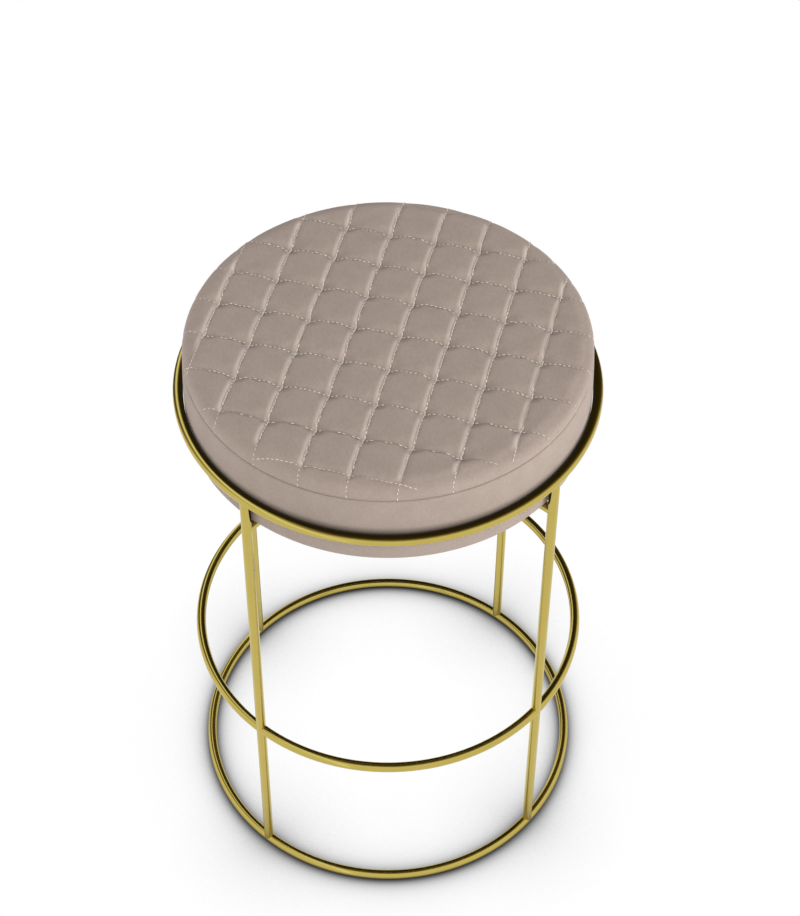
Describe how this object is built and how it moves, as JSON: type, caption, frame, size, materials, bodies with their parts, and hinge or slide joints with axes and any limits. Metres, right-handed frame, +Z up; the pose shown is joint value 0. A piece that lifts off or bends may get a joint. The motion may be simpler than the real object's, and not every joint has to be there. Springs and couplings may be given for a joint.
{
  "type": "counter stool",
  "caption": "Round counter stool: a gold rod frame of equal hoops on upright legs carries a thick round seat with a square-quilted velvet top; the middle hoop is the footrest.",
  "frame": {"origin": "on the floor, on the vertical axis of the hoops and the seat", "axes": "+Z up; -Y is the front, the side that faces the picture's camera; the legs stand at 45 degrees to X and Y"},
  "size_m": [0.4149, 0.415, 0.6334],
  "materials": {
    "frame_gold": "polished gold plating on steel rod",
    "velvet": "short-pile taupe velvet",
    "foam": "open-cell polyurethane foam",
    "plywood": "bare plywood",
    "dust_cloth": "black spun-bonded cloth",
    "zinc_steel": "zinc-plated",
    "glide_nylon": "moulded nylon"
  },
  "bodies": {
    "root": {"base_ring": "frame_gold", "dust_cover": "dust_cloth", "foam_pad": "foam", "footrest_ring": "frame_gold", "glide_back_left": "glide_nylon", "glide_back_right": "glide_nylon", "glide_front_left": "glide_nylon", "glide_front_right": "glide_nylon", "lower_leg_back_left": "frame_gold", "lower_leg_back_right": "frame_gold", "lower_leg_front_left": "frame_gold", "lower_leg_front_right": "frame_gold", "quilted_top": "velvet", "seat_bar_back_left": "frame_gold", "seat_bar_front_right": "frame_gold", "seat_bar_long": "frame_gold", "seat_board": "plywood", "seat_ring": "frame_gold", "seat_screws": "zinc_steel", "seat_tab_back_left": "frame_gold", "seat_tab_back_right": "frame_gold", "seat_tab_front_left": "frame_gold", "seat_tab_front_right": "frame_gold", "seat_washers": "zinc_steel", "side_band": "velvet", "tee_nuts": "zinc_steel", "upper_leg_back_left": "frame_gold", "upper_leg_back_right": "frame_gold", "upper_leg_front_left": "frame_gold", "upper_leg_front_right": "frame_gold"}
  },
  "joints": []
}
